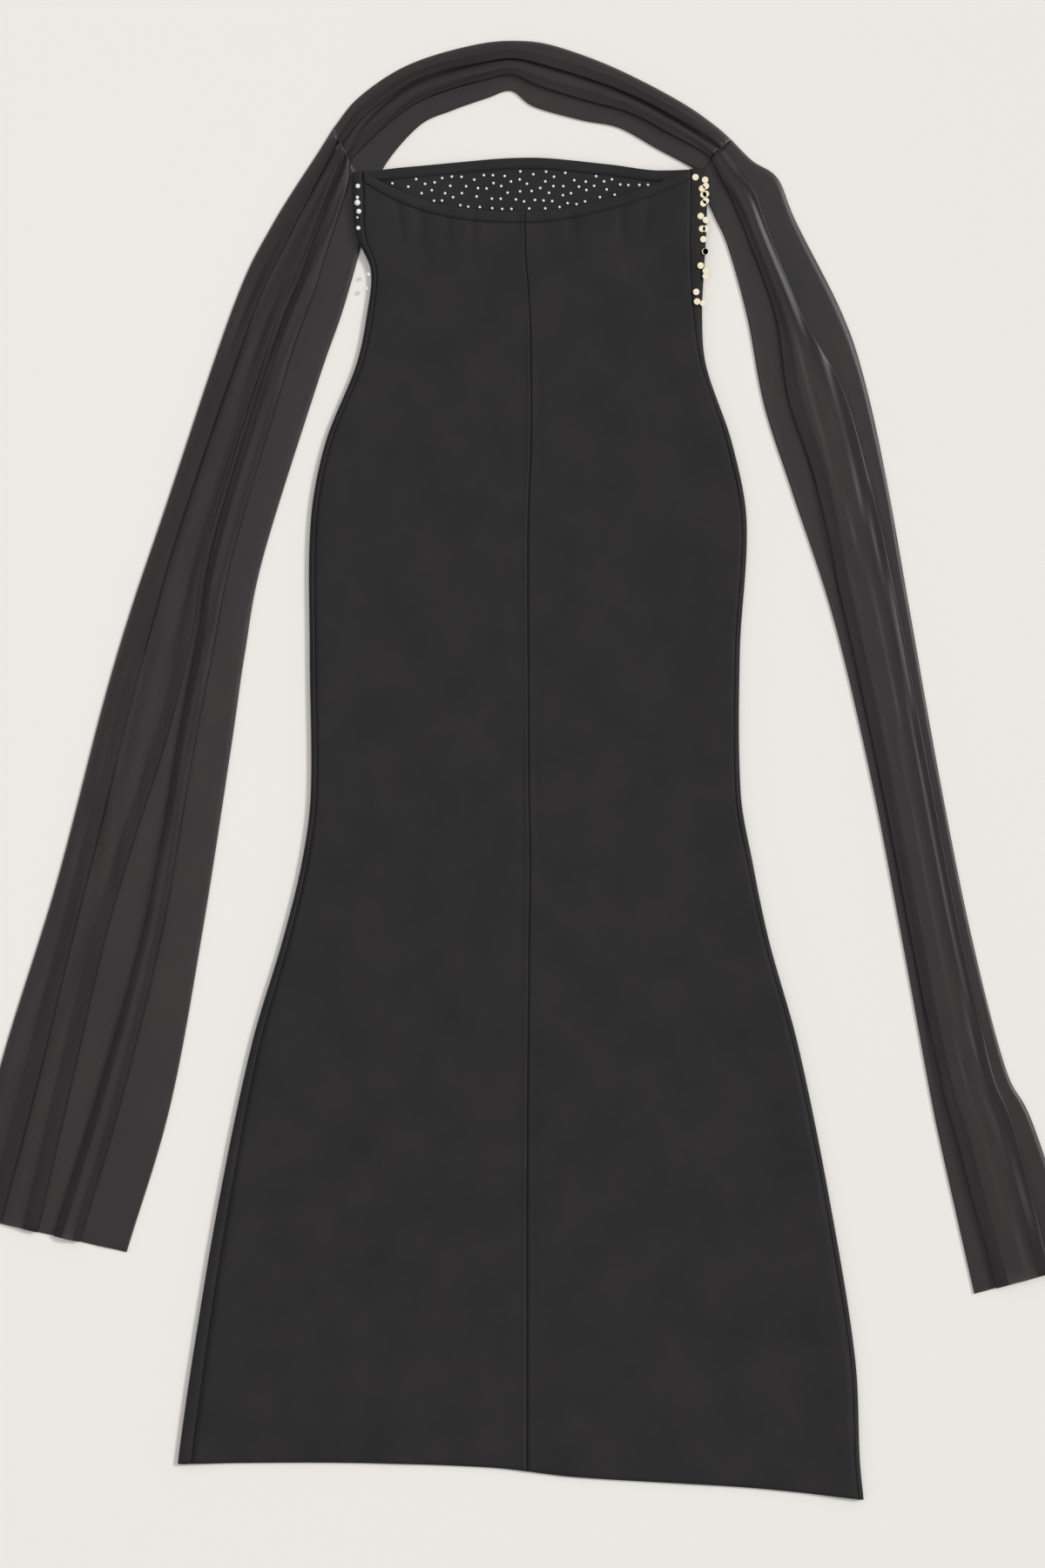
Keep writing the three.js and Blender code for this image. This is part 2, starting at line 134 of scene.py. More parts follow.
def curve(x, y):
    """A smooth curve through the points, flat past its ends."""
    slope = np.empty_like(y)
    slope[1:-1] = (y[2:] - y[:-2]) / (x[2:] - x[:-2])
    slope[0], slope[-1] = (y[1] - y[0]) / (x[1] - x[0]), (y[-1] - y[-2]) / (x[-1] - x[-2])

    def at(value):
        value = np.clip(np.asarray(value, float), x[0], x[-1])
        i = np.clip(np.searchsorted(x, value) - 1, 0, len(x) - 2)
        span = x[i + 1] - x[i]
        t = (value - x[i]) / span
        return (y[i] + (y[i + 1] - y[i]) * t * t * (3 - 2 * t)
                + t * (1 - t) ** 2 * slope[i] * span + t * t * (t - 1) * slope[i + 1] * span)
    return at


gown_left, gown_right, left_roll, right_roll, back_seam = (
    curve(GOWN["height"], GOWN[name]) for name in ("left", "right", "left_roll", "right_roll", "seam"))
hem_height = curve(HEM["across"], HEM["height"])
front_neck = curve(FRONT_NECK["across"], FRONT_NECK["height"])
print("shift", round(SHIFT_X, 2), round(SHIFT_Y, 2))

# %% [markdown]
# ## Colours and cloths
# Each cloth is one Principled shader with a fine knit bump in object coordinates.

# %%
def linear(code):
    """An sRGB hex code as linear colour."""
    parts = [int(code[i:i + 2], 16) / 255 for i in (1, 3, 5)]
    return [p / 12.92 if p < 0.04045 else ((p + 0.055) / 1.055) ** 2.4 for p in parts] + [1]


def node(tree, kind, settings=None, inputs=None):
    """Adds a node. settings are its own options; inputs are values, or sockets to link from."""
    made = tree.nodes.new(kind)
    for name, value in (settings or {}).items():
        setattr(made, name, value)
    for name, value in (inputs or {}).items():
        if isinstance(value, bpy.types.NodeSocket):
            tree.links.new(value, made.inputs[name])
        else:
            made.inputs[name].default_value = value
    return made


def cloth(name, code, light_code, rough, sheen, alpha=1.0, knit_mm=1.1, mottle_mm=60, bump=0.25):
    material = bpy.data.materials.new(name)
    material.use_nodes = True
    tree = material.node_tree
    tree.nodes.clear()
    place = node(tree, "ShaderNodeTexCoord").outputs["Object"]
    knit = node(tree, "ShaderNodeTexNoise", None,
                {"Vector": place, "Scale": 1 / (knit_mm * MM), "Detail": 2.0, "Roughness": 0.6})
    mottle = node(tree, "ShaderNodeTexNoise", None,
                  {"Vector": place, "Scale": 1 / (mottle_mm * MM), "Detail": 3.0, "Roughness": 0.55})
    ramp = node(tree, "ShaderNodeMapRange", None,
                {"Value": mottle.outputs["Fac"], "From Min": 0.3, "From Max": 0.7})
    blend = node(tree, "ShaderNodeMix", {"data_type": "RGBA"}, {"Factor": ramp.outputs["Result"]})
    blend.inputs["A"].default_value = linear(code)
    blend.inputs["B"].default_value = linear(light_code)
    rough_bump = node(tree, "ShaderNodeBump", None,
                      {"Height": knit.outputs["Fac"], "Strength": bump, "Distance": 0.3 * MM})
    shader = node(tree, "ShaderNodeBsdfPrincipled", None, {
        "Base Color": blend.outputs["Result"], "Roughness": rough, "Alpha": alpha,
        "Sheen Weight": sheen, "Sheen Roughness": 0.4, "Normal": rough_bump.outputs["Normal"]})
    shader.inputs["Sheen Tint"].default_value = linear("#B9AEB0")
    out = node(tree, "ShaderNodeOutputMaterial")
    tree.links.new(shader.outputs["BSDF"], out.inputs["Surface"])
    return material


def glossy(name, code, rough, coat=0.0):
    material = bpy.data.materials.new(name)
    material.use_nodes = True
    shader = material.node_tree.nodes["Principled BSDF"]
    shader.inputs["Base Color"].default_value = linear(code)
    shader.inputs["Roughness"].default_value = rough
    shader.inputs["Coat Weight"].default_value = coat
    return material


double_knit = cloth("black_double_knit", "#131113", "#1D1A1C", 0.85, 0.05)
band_cloth = cloth("turned_band_knit", "#151416", "#1E1C1E", 0.88, 0.05)
sheer_knit = cloth("sheer_mesh_knit", "#171113", "#241B1D", 0.42, 0.12, alpha=0.66, knit_mm=0.6,
                   mottle_mm=90, bump=0.12)
thread_black = cloth("sewing_thread", "#121112", "#1B1A1B", 0.8, 0.0)
stone_glass = glossy("white_stone", "#E9EBF0", 0.12, 0.6)
pearl_disc = glossy("cream_pearl_disc", "#F3E6C8", 0.3, 0.4)
print("materials", len(bpy.data.materials))

# %% [markdown]
# ## Sheets of cloth
# A sheet is a grid of points in the middle of the cloth, given a thickness and a rim all round.

# %%
def sheet_mesh(name, grid, thickness, material):
    """A closed thin shell round a grid of points in pattern millimetres."""
    rows, columns = grid.shape[:2]
    down, along = np.gradient(grid, axis=0), np.gradient(grid, axis=1)
    normal = np.cross(along, down)
    normal /= np.maximum(np.linalg.norm(normal, axis=2, keepdims=True), 1e-9)
    faces_of = [grid + normal * thickness / 2, grid - normal * thickness / 2]
    points = np.concatenate([side.reshape(-1, 3) for side in faces_of])
    points = (points + [SHIFT_X, SHIFT_Y, 0]) * MM
    points[:, 2] = np.maximum(points[:, 2], GROUND_GAP / 2 * MM)
    index = np.arange(rows * columns).reshape(rows, columns)
    back = index + rows * columns

    def quads(a, b, c, d):
        return np.stack([a.ravel(), b.ravel(), c.ravel(), d.ravel()], axis=1)

    top = quads(index[:-1, :-1], index[:-1, 1:], index[1:, 1:], index[1:, :-1])
    low = quads(back[1:, :-1], back[1:, 1:], back[:-1, 1:], back[:-1, :-1])
    rim = [quads(index[1:, 0], back[1:, 0], back[:-1, 0], index[:-1, 0]),
           quads(index[:-1, -1], back[:-1, -1], back[1:, -1], index[1:, -1]),
           quads(index[0, :-1], back[0, :-1], back[0, 1:], index[0, 1:]),
           quads(index[-1, 1:], back[-1, 1:], back[-1, :-1], index[-1, :-1])]
    faces = np.concatenate([top, low, *rim])
    mesh = bpy.data.meshes.new(name)
    mesh.from_pydata(points.tolist(), [], faces.tolist())
    mesh.polygons.foreach_set("use_smooth", [True] * len(faces))
    mesh.materials.append(material)
    mesh.update()
    made = bpy.data.objects.new(name, mesh)
    bpy.context.scene.collection.objects.link(made)
    return made


def crease(x, y, line, width, depth):
    """A soft ridge, or a trough if depth is below zero, along a line of points, faded at its ends."""
    x, y = np.asarray(x, float), np.asarray(y, float)
    best = np.full(np.broadcast(x, y).shape, 1e9)
    share = np.zeros_like(best)
    runs = [0.0]
    for (x0, y0), (x1, y1) in zip(line[:-1], line[1:]):
        runs.append(runs[-1] + math.hypot(x1 - x0, y1 - y0))
    for k, ((x0, y0), (x1, y1)) in enumerate(zip(line[:-1], line[1:])):
        length = runs[k + 1] - runs[k]
        t = np.clip(((x - x0) * (x1 - x0) + (y - y0) * (y1 - y0)) / length ** 2, 0, 1)
        gap = np.hypot(x - x0 - t * (x1 - x0), y - y0 - t * (y1 - y0))
        nearer = gap < best
        best = np.where(nearer, gap, best)
        share = np.where(nearer, (runs[k] + t * length) / runs[-1], share)
    fade = rise(share, 0, 0.3) * (1 - rise(share, 0.7, 1))
    return depth * np.exp(-(best / width) ** 2) * (0.25 + 0.75 * fade)


# %% [markdown]
# ## The gown
# The front is cut wider than the back, and its sides turn over onto the back.

# %%
# Soft folds of the back, with width and depth in millimetres.
BACK_FOLDS = [
    ([(-12, 1022), (-8, 958)], 6, -1.6),
    ([(-20, 950), (0, 922)], 9, 1.3), ([(-30, 905), (-20, 858)], 10, 1.1),
    ([(50, 1262), (110, 1228)], 22, 1.8), ([(120, 1236), (60, 1262)], 14, -1.0),
    ([(-136, 1318), (-130, 1275)], 5, -1.5), ([(-113, 1312), (-110, 1268)], 6, -1.6),
    ([(-82, 1305), (-84, 1262)], 6, -1.5), ([(-55, 1301), (-58, 1266)], 5, -1.2),
    ([(12, 1300), (16, 1262)], 5, -1.3), ([(44, 1303), (48, 1262)], 6, -1.5),
    ([(98, 1310), (96, 1268)], 6, -1.5), ([(125, 1316), (120, 1272)], 5, -1.3),
    ([(-70, 95), (-62, -10)], 12, -1.3), ([(-150, 120), (-130, 0)], 20, 1.4),
    ([(150, 140), (175, 0)], 22, 1.4), ([(-200, 420), (-90, 330)], 40, 1.6),
    ([(60, 520), (180, 430)], 45, 1.5), ([(-120, 760), (-40, 700)], 40, 1.4),
    ([(70, 820), (150, 700)], 38, 1.4), ([(-140, 1120), (-60, 1060)], 30, 1.5),
    ([(40, 1130), (130, 1080)], 30, 1.5)]


def side_seam(side, height):
    if side < 0:
        return gown_left(height) + left_roll(height)
    return gown_right(height) - right_roll(height)


def cloth_height(row, across, neck):
    hem = hem_height(across) * (1 - rise(row, 0, HEM_REACH))
    share = rise(row, NECK_REACH, NECK_HEIGHT - BAND_DEPTH)
    return row + hem + (neck(across, row) - NECK_HEIGHT) * share


def front_top(across, row):
    return front_neck(across)


def side_height(side, row):
    return cloth_height(row, gown_left(row) if side < 0 else gown_right(row), front_top)


def back_top(across, row):
    across = np.asarray(across, float)
    result = np.zeros(np.broadcast(across, row).shape)
    for side, power in ((-1, LEFT_NECK_POWER), (1, RIGHT_NECK_POWER)):
        corner = side_seam(side, side_height(side, row))
        share = np.clip(np.abs(across / corner), 0, 1)
        lowest = NECK_HEIGHT - BACK_DIP
        top = lowest + (front_neck(corner) - lowest) * share ** power
        result = np.where(across * side >= 0, top, result)
    return result


def front_level(x, y):
    sides = rise(-x, *LEFT_CORNER) + rise(x, *RIGHT_CORNER)
    return GOWN_WALL / 2 + GROUND_GAP + CORNER_LIFT * sides * rise(y, *CORNER_HEIGHTS)


def back_level(x, y):
    to_side = np.minimum(x - gown_left(y), gown_right(y) - x)
    side = SIDE_CROWN * (1 - rise(to_side, *CROWN_FADE))
    neck = NECK_CROWN * rise(y, *NECK_CROWN_HEIGHTS)
    return front_level(x, y) + GOWN_WALL + SIDE_GAP + side + neck


def back_folds(x, y):
    lift = sum(crease(x, y, *fold) for fold in BACK_FOLDS)
    waves = 0.5 * np.sin(x / 47 + y / 90) * np.sin(y / 130 + 1) + 0.35 * np.sin(x / 23 - y / 61)
    return lift + waves * rise(y, -20, 60)


BAND_ROWS = 4          # rows of points across a neckline band
TURN_POINTS = 9        # points over a turned side, and again round its edge
UNDER_POINTS = 90      # points across the front, between its turned sides
BACK_COLUMNS = 72
ROLL_ARCH = 0.9        # how far a turned side is arched
LEFT_EDGE_PROUD, RIGHT_EDGE_PROUD = 0.9, 0.1   # the left half stands up along the centre seam
EDGE_WIDTH = 3.0
SEAM_DIP, DIP_FROM_EDGE, DIP_WIDTH = 0.8, 7, 4.0   # the low run beside the seam's edge
LEAST_GAP = 0.15       # the back never comes nearer to the front
RUFFLE = (1270, 1330)  # heights over which soft waves come into the front's neckline

rows = np.concatenate([np.arange(0, NECK_HEIGHT - BAND_DEPTH, ROW_STEP),
                       np.linspace(NECK_HEIGHT - BAND_DEPTH, NECK_HEIGHT, BAND_ROWS)])


def front_grid():
    made = []
    for row in rows:
        def turned(side):
            edge = (gown_left if side < 0 else gown_right)(side_height(side, row))
            tip = edge - side * GOWN_WALL / 2
            height = cloth_height(row, tip, front_top)
            low = front_level(tip, height)
            high = back_level(tip, height)
            radius = (high - low) / 2
            end = side_seam(side, side_height(side, row))
            run = np.linspace(end, tip - side * radius, TURN_POINTS)
            level = high + ROLL_ARCH * np.sin(np.linspace(0, math.pi, TURN_POINTS))
            turn = np.linspace(math.pi / 2, -math.pi / 2, TURN_POINTS)[1:]
            bend = tip - side * radius + side * radius * np.cos(turn)
            rest = (low + high) / 2 + radius * np.sin(turn)
            return np.concatenate([run, bend]), np.concatenate([level, rest])

        left_run, left_level = turned(-1)
        right_run, right_level = turned(1)
        under = np.linspace(left_run[-1], right_run[-1], UNDER_POINTS)[1:-1]
        heights = cloth_height(row, under, front_top)
        lift = front_level(under, heights) + rise(row, *RUFFLE) * (
            0.5 + 0.5 * np.sin(under / 11) * np.sin(under / 29 + 1))
        run = np.concatenate([left_run, under, right_run[::-1]])
        level = np.concatenate([left_level, lift, right_level[::-1]])
        made.append(np.stack([run, cloth_height(row, run, front_top), level], axis=1))
    return np.array(made)


def back_grid(side):
    shares = np.linspace(0, 1, BACK_COLUMNS) ** 0.9   # points lie a little closer by the seam
    made = []
    for row in rows:
        outer = side_seam(side, side_height(side, row)) - side * SIDE_GAP
        inner = back_seam(row) + side * SEAM_GAP
        run = outer + (inner - outer) * shares
        heights = cloth_height(row, run, back_top)
        level = back_level(run, heights) + back_folds(run, heights)
        proud = LEFT_EDGE_PROUD if side < 0 else RIGHT_EDGE_PROUD
        level = level + proud * np.exp(-((run - inner) / EDGE_WIDTH) ** 2) - SEAM_DIP * np.exp(
            -((run - inner - side * DIP_FROM_EDGE) / DIP_WIDTH) ** 2)
        lowest = front_level(run, heights) + GOWN_WALL + LEAST_GAP
        made.append(np.stack([run, heights, np.maximum(level, lowest)], axis=1))
    return np.array(made)


left_back, right_back, whole_front = back_grid(-1), back_grid(1), front_grid()
front = sheet_mesh("front_panel_cloth", whole_front, GOWN_WALL, double_knit)
back_left = sheet_mesh("back_left_cloth", left_back, GOWN_WALL, double_knit)
back_right = sheet_mesh("back_right_cloth", right_back, GOWN_WALL, double_knit)


def band(name, grid, trim=0):
    """A strip on a panel's top rows. trim leaves out columns of points at both ends."""
    raised = grid[-BAND_ROWS:, trim:grid.shape[1] - trim].copy()
    raised[..., 2] += GOWN_WALL / 2 + BAND_WALL / 2 + BAND_GAP
    return sheet_mesh(name, raised, BAND_WALL, band_cloth)


band_left = band("neck_band_left_cloth", left_back)
band_right = band("neck_band_right_cloth", right_back)
band_front = band("neck_band_front_cloth", whole_front, 2 * TURN_POINTS)
print("gown", [len(o.data.polygons) for o in (front, back_left, back_right)])

# %% [markdown]
# ## The stole
# One strip in three stretches. A section is a path across the cloth with its folds; a fold that
# falls runs on top and turns back under itself, and one that rises does the reverse.

# %%
PLEAT_MARGIN = 1.5     # clear run before and after a fold
BOX_LAYER = 2.9        # layers up to the arched top of a box fold; 2 would be flat
BASE_LIFT = 0.3
BEND_STEPS = 6         # points on each straight part of a section
SOFTENING = 3          # times that a section's corners are rounded


def pleat_section(width, folds, pitch):
    """The path across the cloth as a smooth polyline of fixed length, run and height."""
    radius = pitch / 2
    base = STOLE_WALL / 2 + BASE_LIFT
    points = [(0, 0.0)]
    clear, on_top = 0, False
    for at, tuck, falls in folds:
        hidden = at - tuck if falls else at + tuck
        if falls:
            if on_top:
                third = (at - clear) / 3
                points += [(clear + third, BOX_LAYER), (clear + 2 * third, BOX_LAYER)]
            else:
                points += [(clear + PLEAT_MARGIN, 0), (hidden - PLEAT_MARGIN, 2)]
            points += [(at - radius, 2), (at, 1.5), (at - radius, 1)]
            points += [(hidden + radius, 1), (hidden, 0.5), (hidden + radius, 0)]
        else:
            points += [(hidden - radius, 0), (hidden, 0.5), (hidden - radius, 1)]
            points += [(at + radius, 1), (at, 1.5), (at + radius, 2)]
        clear, on_top = at, not falls
    points.append((width, 0))
    points = np.array(points, float)
    path = []
    for i in range(len(points) - 1):
        t = np.linspace(0, 1, BEND_STEPS + 1)[:-1, None]
        path.append(points[i] * (1 - t) + points[i + 1] * t)
    path = np.concatenate([*path, points[-1:]])
    kernel = np.array([1, 2, 1]) / 4
    for _ in range(SOFTENING):
        path[1:-1] = (path[:-2] * kernel[0] + path[1:-1] * kernel[1] + path[2:] * kernel[2])
    path[:, 1] = base + path[:, 1] * pitch
    return path


def stole_ripple(s, run, width):
    """Long soft ripples down the strip that wander a little, and small cross creases."""
    share = run / width
    wander = 0.05 * np.sin(s / 130) + 0.03 * np.sin(s / 57 + 2)
    lines = np.sin((share + wander) * 31) * 0.45 + np.sin((share - wander) * 53 + 1) * 0.25
    cross = 0.3 * np.sin(s / 21 + 9 * share) * np.sin(s / 83)
    return (lines + cross) * rise(share, 0, 0.05) * (1 - rise(share, 0.95, 1))


RIPPLE = 1.1           # height of the stole's ripples
JOINT_TRIM = 0.01      # share of a table row left out at a joint
ARC_STEP = 3.0         # between rows on the tighter arc


def stole_sheet(name, rows_of, start, end, folds_of, step=ROW_STEP, trim=(0, 0)):
    """One stretch of the stole, from the edge named start to the one named end. trim leaves out
    shares of the table's first and last rows, where two stretches meet."""
    count = len(rows_of["ox"])
    place = np.arange(count, dtype=float)
    at = {key: curve(place, value) for key, value in rows_of.items()}
    centre = [((rows_of["ox"][i] + rows_of["ix"][i]) / 2, (rows_of["oy"][i] + rows_of["iy"][i]) / 2)
              for i in range(count)]
    runs = np.concatenate([[0], np.cumsum([math.dist(a, b) for a, b in zip(centre, centre[1:])])])
    length = runs[-1]
    grid = []
    for s in np.linspace(0, length, int(length / step) + 1):
        p = np.interp(s, runs, place)
        p = min(max(p, trim[0]), count - 1 - trim[1])
        row = {key: float(at[key](p)) for key in at}
        origin = np.array([row[start + "x"], row[start + "y"]])
        target = np.array([row[end + "x"], row[end + "y"]])
        width = float(np.linalg.norm(target - origin))
        across = (target - origin) / width
        path = pleat_section(width, folds_of(row, width), row["pitch"])
        flat = origin + path[:, :1] * across
        lift = path[:, 1] + RIPPLE * (1 + stole_ripple(s, path[:, 0], width))
        grid.append(np.concatenate([flat, lift[:, None]], axis=1))
    return sheet_mesh(name, np.array(grid), STOLE_WALL, sheer_knit), length


def left_folds(row, width):
    return [(row["first"] * width, row["pleat"], True), (row["second"] * width, row["pleat"], True),
            (row["opens"] * width, row["box"], False), (row["closes"] * width, row["box"], True)]


def arc_folds(row, width):
    return [(row["first"] * width, row["pleat"], True), (row["second"] * width, row["pleat"], True)]


def right_folds(row, width):
    return [(row["opens"] * width, row["box"], False), (row["closes"] * width, row["box"], True)]


left_fall, left_length = stole_sheet(
    "stole_left_cloth", LEFT_FALL, "o", "i", left_folds, trim=(0, JOINT_TRIM))
neck_arc, arc_length = stole_sheet(
    "stole_arc_cloth", NECK_ARC, "o", "i", arc_folds, step=ARC_STEP, trim=(JOINT_TRIM, JOINT_TRIM))
right_fall, right_length = stole_sheet(
    "stole_right_cloth", RIGHT_FALL, "i", "o", right_folds, trim=(JOINT_TRIM, 0))
print("stole", [len(o.data.polygons) for o in (left_fall, neck_arc, right_fall)],
      round(left_length), round(arc_length), round(right_length))

# %% [markdown]
# ## Studs, stones, discs and stitches
# Small repeats are put on points by Geometry Nodes, then baked.

# %%
def scattered(name, places, sizes, kind, material, flatness):
    """One small solid on each place, baked to a mesh. sizes are diameters in millimetres, and
    flatness is its height as a share of its diameter."""
    mesh = bpy.data.meshes.new(name)
    placed = [((x + SHIFT_X) * MM, (y + SHIFT_Y) * MM, z * MM) for x, y, z in places]
    mesh.from_pydata(placed, [], [])
    spread = mesh.attributes.new("diameter", "FLOAT", "POINT")
    spread.data.foreach_set("value", [size * MM for size in sizes])
    made = bpy.data.objects.new(name, mesh)
    bpy.context.scene.collection.objects.link(made)
    tree = bpy.data.node_groups.new(name + "_nodes", "GeometryNodeTree")
    tree.interface.new_socket("Geometry", in_out="INPUT", socket_type="NodeSocketGeometry")
    tree.interface.new_socket("Geometry", in_out="OUTPUT", socket_type="NodeSocketGeometry")
    tree.interface.new_socket("Flatness", in_out="INPUT", socket_type="NodeSocketFloat")
    source = node(tree, "NodeGroupInput")
    if kind == "stone":
        solid = node(tree, "GeometryNodeMeshIcoSphere", None, {"Radius": 0.5, "Subdivisions": 2})
    else:
        solid = node(tree, "GeometryNodeMeshCylinder", None,
                     {"Vertices": 20, "Radius": 0.5, "Depth": 1.0})
    size = node(tree, "GeometryNodeInputNamedAttribute", {"data_type": "FLOAT"},
                {"Name": "diameter"})
    thick = node(tree, "ShaderNodeMath", {"operation": "MULTIPLY"},
                 {0: size.outputs[0], 1: source.outputs["Flatness"]})
    scale = node(tree, "ShaderNodeCombineXYZ", None,
                 {"X": size.outputs[0], "Y": size.outputs[0], "Z": thick.outputs[0]})
    put = node(tree, "GeometryNodeInstanceOnPoints", None, {
        "Points": source.outputs["Geometry"], "Instance": solid.outputs["Mesh"],
        "Scale": scale.outputs[0]})
    real = node(tree, "GeometryNodeRealizeInstances", None, {"Geometry": put.outputs["Instances"]})
    paint = node(tree, "GeometryNodeSetMaterial", None,
                 {"Geometry": real.outputs["Geometry"], "Material": material})
    node(tree, "NodeGroupOutput", None, {"Geometry": paint.outputs["Geometry"]})
    modifier = made.modifiers.new("repeat", "NODES")
    modifier.node_group = tree
    flat_socket = next(i.identifier for i in tree.interface.items_tree if i.name == "Flatness")
    modifier[flat_socket] = flatness
    bpy.context.view_layer.update()
    depsgraph = bpy.context.evaluated_depsgraph_get()
    baked = bpy.data.meshes.new_from_object(made.evaluated_get(depsgraph))
    made.modifiers.remove(modifier)
    made.data = baked
    return made


RIGHT_DISCS = [
    (172.8, 1335.6), (182.7, 1332.9), (184.5, 1326.6), (179.6, 1323.9), (180.9, 1317.6),
    (185.9, 1318.5), (187.2, 1311.3), (180.9, 1308.6), (178.2, 1295.6), (183.6, 1291.5),
    (179.6, 1282.5), (183.6, 1282.5), (180.9, 1271.7), (182.7, 1259.1), (185.4, 1259.1),
    (178.2, 1244.7), (184.5, 1239.3), (185.4, 1233.9), (173.7, 1217.7), (174.6, 1207.8),
    (180.9, 1206.0)]
LEFT_STONES = [
    (-175, 1326.6, 5.0), (-175.5, 1314.9, 3.6), (-175.5, 1309.5, 6.3), (-174, 1300.5, 5.4),
    (-175.5, 1294.2, 2.3), (-174.6, 1283.4, 4.5), (-164.2, 1235.7, 4.0), (-166.5, 1221.3, 4.0)]
TURNED_TOP = 3 * GOWN_WALL + 3.4   # top of the turned sides
DISC_DIAMETER, STUD_DIAMETER = 6.6, 2.7
OUTERMOST_DISC = 183.5             # the discs stay on the turned side
LEFT_STONE_LIFT = 1.4
STUD_SEED, STUD_TRIES, STUD_SPACING = 7, 2600, 8.2
STUD_AREA = (-160, 165, 1290, 1349)
STUD_MARGIN = 2                    # from the back's neckline and from the front's band
STUD_HEIGHT = GOWN_WALL / 2 + 0.9  # over the middle of the front

discs = scattered("side_discs", [
    (min(x, OUTERMOST_DISC), y, TURNED_TOP + CORNER_LIFT * float(rise(y, *CORNER_HEIGHTS)))
    for x, y in RIGHT_DISCS], [DISC_DIAMETER] * len(RIGHT_DISCS), "disc", pearl_disc, 0.12)
stones = scattered("side_stones", [
    (x, y, TURNED_TOP + LEFT_STONE_LIFT * float(rise(y, *CORNER_HEIGHTS)))
    for x, y, _ in LEFT_STONES], [d for *_, d in LEFT_STONES], "stone", stone_glass, 0.6)
draw = np.random.default_rng(STUD_SEED)
studs_at = []
for _ in range(STUD_TRIES):
    x, y = draw.uniform(*STUD_AREA[:2]), draw.uniform(*STUD_AREA[2:])
    low = float(back_top(x, NECK_HEIGHT)) + STUD_MARGIN
    high = float(front_neck(x)) - BAND_DEPTH - STUD_MARGIN
    if low < y < high and all(math.hypot(x - a, y - b) > STUD_SPACING for a, b, _ in studs_at):
        studs_at.append((x, y, float(front_level(x, y)) + STUD_HEIGHT))
studs = scattered("inner_studs", studs_at, [STUD_DIAMETER] * len(studs_at), "stone", stone_glass, 0.5)

STITCH_STEP, STITCH_LENGTH = 2.6, 1.5
STITCH_INSET = 1.2     # from the band's lower edge
STITCH_MARGIN = 2      # from the band's ends
STITCH_HEIGHT = GOWN_WALL / 2 + BAND_WALL + 0.2


def stitch_line(name, grid):
    """Short stitches along the lower edge of a neckline band."""
    line = grid[-BAND_ROWS]
    runs = np.concatenate([[0], np.cumsum(np.linalg.norm(np.diff(line, axis=0), axis=1))])
    places = []
    for s in np.arange(STITCH_MARGIN, runs[-1] - STITCH_MARGIN, STITCH_STEP):
        places.append([np.interp(s, runs, line[:, k]) for k in range(3)])
    places = [(x, y + STITCH_INSET, z + STITCH_HEIGHT) for x, y, z in places]
    return scattered(name, places, [STITCH_LENGTH] * len(places), "stone", thread_black, 0.5)


stitch_left = stitch_line("stitches_left", left_back)
stitch_right = stitch_line("stitches_right", right_back)
print("studs", len(studs_at))

# %% [markdown]
# ## Floor, light and camera

# %%
FLOOR_HALF = 4.0       # metres
floor_mesh = bpy.data.meshes.new("floor")
floor_corners = [(x * FLOOR_HALF, y * FLOOR_HALF, 0)
                 for x, y in ((-1, -1), (1, -1), (1, 1), (-1, 1))]
floor_mesh.from_pydata(floor_corners, [], [(0, 1, 2, 3)])
floor = bpy.data.objects.new("floor", floor_mesh)
bpy.context.scene.collection.objects.link(floor)
floor_mesh.materials.append(glossy("pale_floor", "#EDEBE4", 0.9))


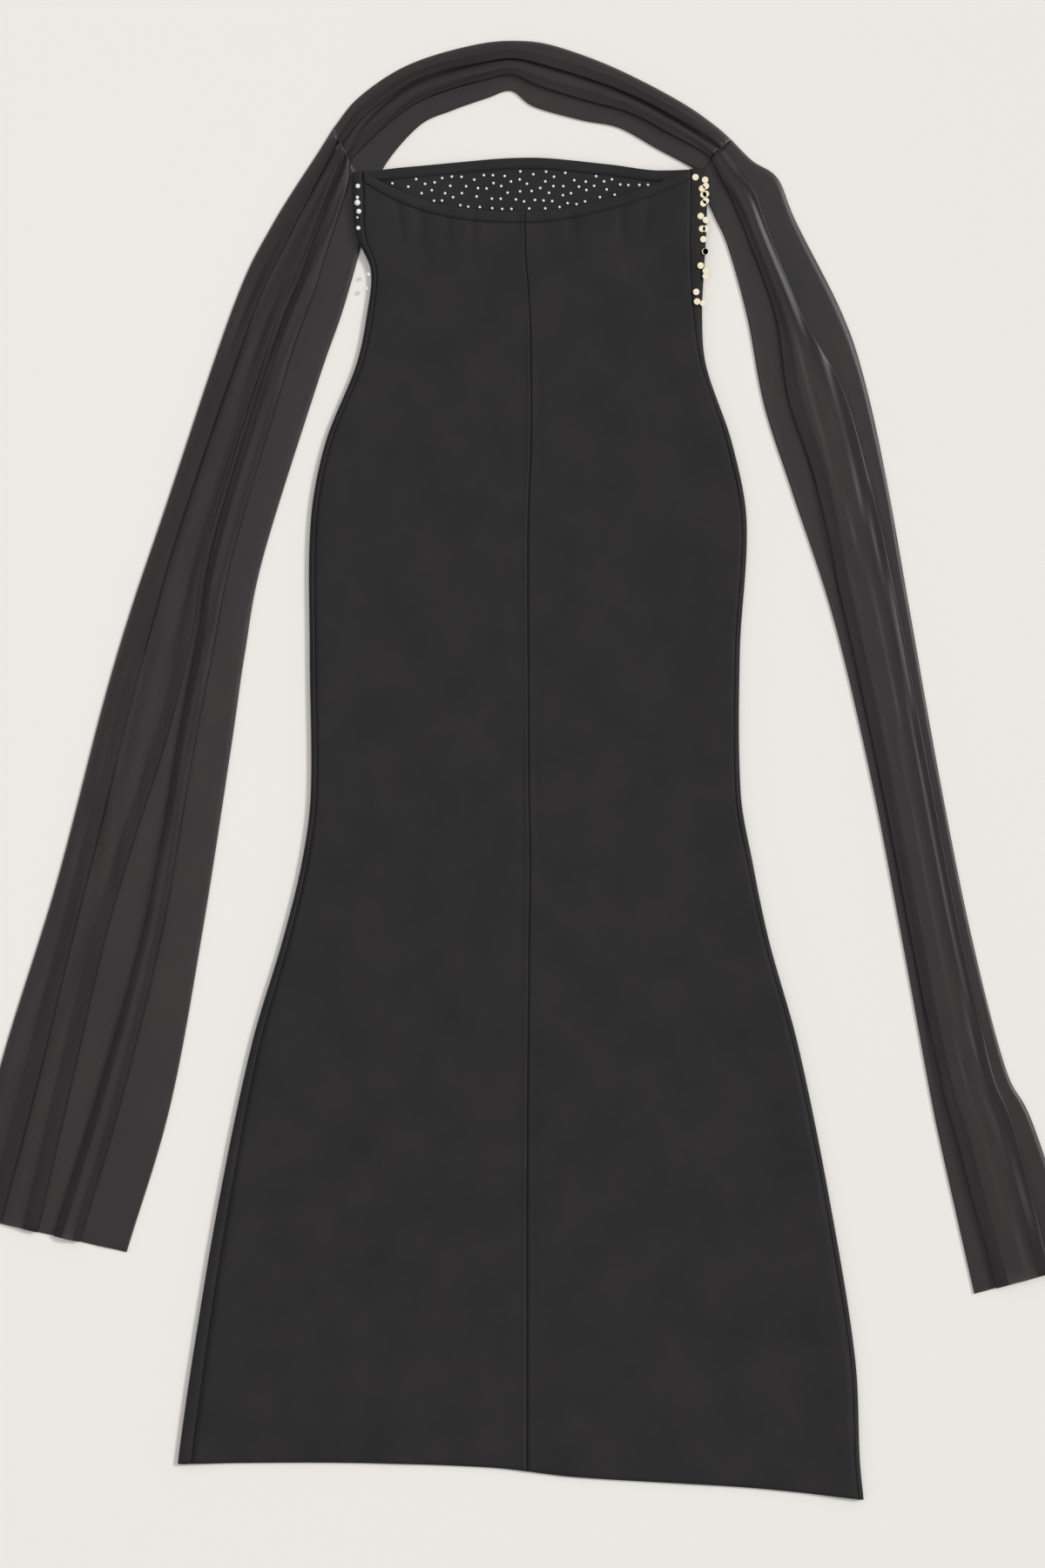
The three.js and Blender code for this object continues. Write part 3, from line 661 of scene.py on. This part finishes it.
def area_light(name, place, target, size, watts):
    data = bpy.data.lights.new(name, "AREA")
    data.size, data.energy = size, watts
    lamp = bpy.data.objects.new(name, data)
    lamp.location = place
    aim = np.array(target) - np.array(place)
    lamp.rotation_euler = Vector(aim).to_track_quat("-Z", "Y").to_euler()
    bpy.context.scene.collection.objects.link(lamp)


sun_data = bpy.data.lights.new("window_right", "SUN")
sun_data.energy = 2.0
sun_data.angle = math.radians(14)
sun = bpy.data.objects.new("window_right", sun_data)
sun.rotation_euler = (math.radians(-18), math.radians(52), 0)
bpy.context.scene.collection.objects.link(sun)
area_light("soft_top", (-0.6, 0.2, 3.6), (0, 0, 0), 3.0, 14)
world = bpy.data.worlds.new("studio")
world.use_nodes = True
world.node_tree.nodes["Background"].inputs["Color"].default_value = linear("#F1F0F2")
world.node_tree.nodes["Background"].inputs["Strength"].default_value = 0.6
bpy.context.scene.world = world
bpy.context.scene.view_settings.view_transform = "Standard"

VIEW_HEIGHT = 3.2      # camera above the floor, metres
SEEN_LENGTH = 1.62     # what the picture spans up and down
SEEN_CENTRE = (-0.0004, -0.0145)
camera_data = bpy.data.cameras.new("camera")
camera_data.sensor_fit = "VERTICAL"
camera_data.angle = 2 * math.atan(SEEN_LENGTH / 2 / VIEW_HEIGHT)
camera = bpy.data.objects.new("camera", camera_data)
camera.location = (*SEEN_CENTRE, VIEW_HEIGHT)
bpy.context.scene.collection.objects.link(camera)
bpy.context.scene.camera = camera

# %% [markdown]
# ## What each piece stands for

# %%
for piece, cad_node, slot_name in [
        (front, "front_panel", "gown_knit"), (back_left, "back_left_panel", "gown_knit"),
        (back_right, "back_right_panel", "gown_knit"),
        (band_front, "neck_band_front", "band_knit"),
        (band_left, "neck_band_back_left", "band_knit"),
        (band_right, "neck_band_back_right", "band_knit"),
        (left_fall, "stole_left_fall", "stole_mesh"), (neck_arc, "stole_neck_arc", "stole_mesh"),
        (right_fall, "stole_right_fall", "stole_mesh")]:
    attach(piece, "root")
    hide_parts(cad_node)
for piece, slot_name in [(discs, "discs"), (stones, "stones"), (studs, "stones"),
                         (stitch_left, "thread"), (stitch_right, "thread")]:
    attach(piece, "root")
